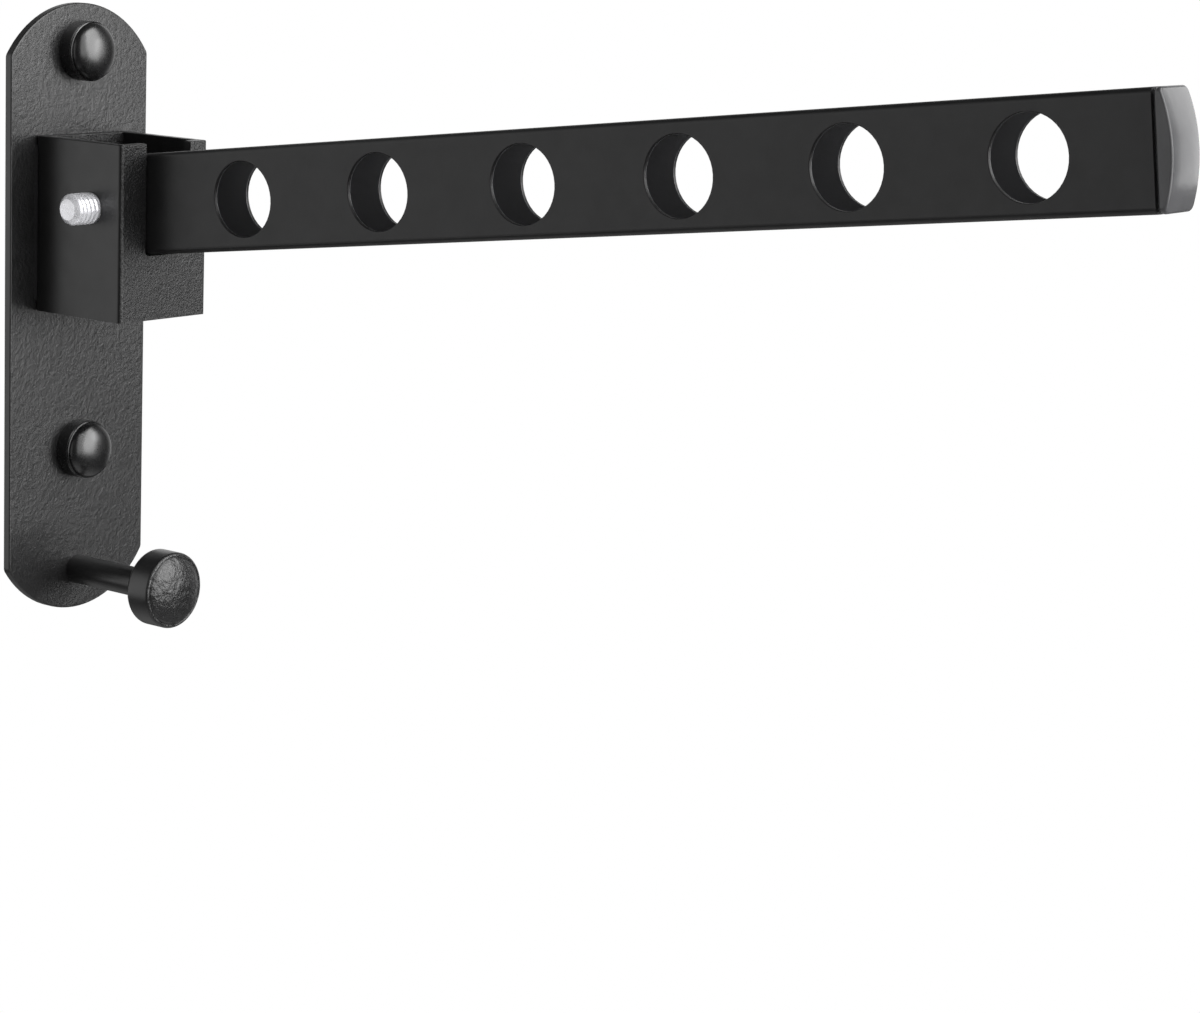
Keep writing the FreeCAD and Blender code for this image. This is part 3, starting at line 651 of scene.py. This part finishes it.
# %% [markdown]
# The arm's open end is closed by a pushed-in plastic plug with a pillow-shaped end.
# Its edges are round, and where its head meets the tube there is a fine dark seam,
# because the head's edge is eased there. The rings here are rounded oblongs: they go
# from the hollow inside, round the part in the tube, out over the head and in to its
# middle.

# %% Points in the arm's own directions
def on_arm(x, along, up):
    """A point of the arm: along it from the pivot, and up from its middle."""
    return (
        x,
        pivot.y - along * math.cos(ARM_TILT) + up * math.sin(ARM_TILT),
        pivot.z + along * math.sin(ARM_TILT) + up * math.cos(ARM_TILT),
    )


def between(start, end, cuts):
    """Points on the straight way from start to end, without either of them."""
    shares = [i / (cuts + 1) for i in range(1, cuts + 1)]
    return [tuple(a * (1 - t) + b * t for a, b in zip(start, end)) for t in shares]


print("100 mm out along the arm:", [round(v, 1) for v in on_arm(0, 100, 0)])

# %% Rounded oblongs
ARM_HALF_WIDTH, ARM_HALF_HEIGHT, ARM_CORNER = 5.8, 12.0, 1.4
SMALLEST_CORNER = 0.25
CORNER_CUTS, SHORT_CUTS, LONG_CUTS = 6, 5, 17


def oblong(inset):
    """Points (x, up) of the arm's outline, moved in by inset."""
    wide, tall = max(ARM_HALF_WIDTH - inset, 0.0), ARM_HALF_HEIGHT - inset
    corner = min(max(ARM_CORNER - inset, SMALLEST_CORNER), wide)
    flat, straight = wide - corner, tall - corner
    points = []
    for quarter, (sx, sz) in enumerate(((1, 1), (-1, 1), (-1, -1), (1, -1))):
        for i in range(CORNER_CUTS + 1):
            turn = math.pi / 2 * (quarter + i / CORNER_CUTS)
            x = sx * flat + corner * math.cos(turn)
            points.append((x, sz * straight + corner * math.sin(turn)))
        if quarter in (0, 2):
            points += between((sx * flat, sz * tall), (-sx * flat, sz * tall), SHORT_CUTS)
        else:
            start, end = (sx * wide, sz * straight), (sx * wide, -sz * straight)
            points += between(start, end, LONG_CUTS)
    return points


print("points in an oblong:", len(oblong(0)))

# %% Plug with a pillow end
TUBE_END = 277.0
HEAD_EDGE, HEAD_BULGE, HEAD_ROUND, SIDE_FALL = 1.95, 2.15, 0.45, 0.15
HEAD_INSET, ROUND_STEPS = 0.02, 8
# Pairs of (inset, along): the hollow part in the tube, and then the seam's eased edge.
INSERT = ((2.4, -2.0), (2.4, -14.0), (1.0, -14.0), (1.0, 0.0))
SEAM = ((0.8, 0.12), (0.52, 0.34), (0.28, 0.64), (0.11, 0.98), (HEAD_INSET, 1.3))
FACE_INSETS = (0.8, 1.3, 2.0, 2.8, 3.6, 4.5, 5.3, 5.8)


def pillow(x, up):
    """How far the head's end lies beyond the tube's end at that place."""
    bulge = HEAD_BULGE * (1 - (up / ARM_HALF_HEIGHT) ** 2)
    return HEAD_EDGE + bulge - SIDE_FALL * abs(x / ARM_HALF_WIDTH) ** 3


def face_ring(inset, back=0.0):
    """A ring that follows the pillow, that far behind its surface."""
    return [on_arm(x, TUBE_END + pillow(x, up) - back, up) for x, up in oblong(inset)]


rings = []
for inset, along in INSERT + SEAM:
    rings.append([on_arm(x, TUBE_END + along, up) for x, up in oblong(inset)])
for i in range(ROUND_STEPS + 1):
    bend = math.pi / 2 * i / ROUND_STEPS
    inset = HEAD_INSET + HEAD_ROUND * (1 - math.cos(bend))
    rings.append(face_ring(inset, HEAD_ROUND * (1 - math.sin(bend))))
rings += [face_ring(inset) for inset in FACE_INSETS]
skin_over(
    "plug_pillow", rings, plug_moulding, "arm",
    stands_for=["arm_end_plug"], crease=50,
)

# %% [markdown]
# The peg's head is a thick disc under a grainy coat. A fine groove runs between its
# rounded rim and its domed face, and a small fillet of coat joins it to the post. All
# of that is one profile turned round the peg's axis.

# %% Turned profiles round an axis that points forward
def middle_of(node):
    """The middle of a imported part, in mm."""
    low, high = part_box(node)
    return (low + high) / 2 / MM


def turned(middle, profile, around=96):
    """Rings for a profile of (y, radius) pairs, turned round a line along Y."""
    turns = [2 * math.pi * i / around for i in range(around)]
    return [
        [(middle.x + r * math.cos(a), y, middle.z + r * math.sin(a)) for a in turns]
        for y, r in profile
    ]


def corner_arc(y, r, radius, start, end, steps=8):
    """(y, radius) pairs on an arc: 0 degrees points outward, 90 points forward."""
    arc = []
    for i in range(steps + 1):
        turn = math.radians(start + (end - start) * i / steps)
        arc.append((y - radius * math.sin(turn), r + radius * math.cos(turn)))
    return arc


print("peg's middle, mm:", [round(v, 2) for v in middle_of("peg_head")])

# %% Peg button
# Pairs of (distance from the head's back, radius): behind it, and then before it.
FILLET = ((1.1, 3.2), (1.1, 3.63), (0.55, 3.72), (0.2, 3.95), (0.02, 4.5), (0, 5.2))
GROOVE = ((7.34, 8.64), (7.20, 8.55), (7.20, 8.40), (7.44, 8.20))
BACK_ROUND, FRONT_ROUND, FRONT_FROM = 1.2, 0.85, 6.55
FACE_RADIUS, FACE_DROP, FACE_RINGS, FACE_FLATTER = 8.20, 1.92, 15, 0.02
CENTRE_DEPTH, CENTRE_RADIUS = 0.001, 0.05
peg_low, peg_high = (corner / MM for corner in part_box("peg_head"))
back, tip, rim = peg_high.y, peg_low.y, (peg_high.z - peg_low.z) / 2
profile = [(back + behind, radius) for behind, radius in FILLET]
profile += corner_arc(back - BACK_ROUND, rim - BACK_ROUND, BACK_ROUND, -88, 0)
profile += corner_arc(back - FRONT_FROM, rim - FRONT_ROUND, FRONT_ROUND, 0, 74)
profile += [(back - before, radius) for before, radius in GROOVE]
for i in range(1, FACE_RINGS):
    radius = FACE_RADIUS * (1 - i / FACE_RINGS)
    drop = FACE_DROP * (radius / FACE_RADIUS) ** 2 * (1 - FACE_FLATTER * i)
    profile.append((tip + drop, radius))
profile.append((tip + CENTRE_DEPTH, CENTRE_RADIUS))
rings = turned(middle_of("peg_head"), profile)
skin_over(
    "peg_button", rings, peg_powder, "wall_side",
    stands_for=["peg_head"], crease=50,
)

# %% [markdown]
# Each wall screw hides under a glossy cap. Its dome stands on a narrow sloped ledge,
# which catches the panel as a thin bright arc on one side, where dome and base meet.
# The dome is part of an ellipse, fuller than a ball's cap, so that the highlight on it
# stays broad.

# %% Glossy domes
LEDGE_WIDTH, LEDGE_SLOPE, LEDGE_EDGE = 0.34, 0.13, 0.1
COLLAR, UNDER_WIDTH = 0.42, 1.6
FOOT_WIDTH, FOOT_DEPTH = 0.1, 0.12
DOME_RINGS, FULLNESS, SMALLEST_RADIUS = 28, 0.9, 0.03


def cap_dome(node, name):
    """A dome on its ledge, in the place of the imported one."""
    low, high = (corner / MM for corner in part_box(node))
    wide, height = (high.z - low.z) / 2, high.y - low.y
    front, dome, edge = high.y - COLLAR, wide - LEDGE_WIDTH, LEDGE_EDGE
    outline = [(high.y, wide - UNDER_WIDTH)]
    outline += corner_arc(high.y - edge, wide - edge, edge, -90, 0, 4)
    outline += corner_arc(front + edge + LEDGE_SLOPE, wide - edge, edge, 0, 66, 4)
    outline += [(front, dome + FOOT_WIDTH), (front + FOOT_DEPTH, dome)]
    for i in range(1, DOME_RINGS + 1):
        bend = math.pi / 2 * i / DOME_RINGS
        radius = max(dome * math.cos(bend) ** FULLNESS, SMALLEST_RADIUS)
        outline.append((front - (height - COLLAR) * math.sin(bend), radius))
    rings = turned(middle_of(node), outline)
    skin_over(
        name, rings, cap_gloss, "wall_side",
        stands_for=[node], crease=60,
    )


cap_dome("screw_cap_dome_upper", "upper_dome")
cap_dome("screw_cap_dome_lower", "lower_dome")

# %% [markdown]
# The tube is welded to the plate along its two rear corners. A weld is laid as a row
# of overlapping drops, so its surface has ripples about as long as it is wide. A
# straight three-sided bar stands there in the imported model. The skin here follows
# the same corner, with ripples along its run and thin, rounded ends.

# %% Rippled welds
DROP_LENGTH, DROP_SIZE, DROP_GROWTH, DROP_CURVE = 1.15, 0.90, 0.09, 1.5
END_FADE, END_LEFT = 1.4, 0.02
WELD_ROWS, WELD_POINTS, HOLLOW = 150, 8, 1.15


def weld(node, name, side):
    """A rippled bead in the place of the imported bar. side is -1 left and 1 right."""
    low, high = (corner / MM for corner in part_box(node))
    inner, outer = (low.x, high.x) if side > 0 else (high.x, low.x)
    deep, run = high.y - low.y, high.z - low.z
    rows = []
    for i in range(WELD_ROWS + 1):
        t = i / WELD_ROWS
        z = low.z + run * t
        ends = min(1.0, (min(t, 1 - t) * run / END_FADE + END_LEFT)) ** 0.5
        drop = ((t * run / DROP_LENGTH) % 1.0) ** DROP_CURVE
        size = ends * (DROP_SIZE + DROP_GROWTH * drop)
        row = []
        for k in range(WELD_POINTS + 1):
            share = k / WELD_POINTS
            across = inner + (outer - inner) * (share * size)
            row.append((across, high.y - deep * size * (1 - share) ** HOLLOW, z))
        row.append((inner, high.y, z))
        rows.append(row)
    skin_over(
        name, rows, weld_powder, "wall_side",
        stands_for=[node], crease=70,
    )


weld("weld_bead_left", "rippled_weld_left", -1)
weld("weld_bead_right", "rippled_weld_right", 1)
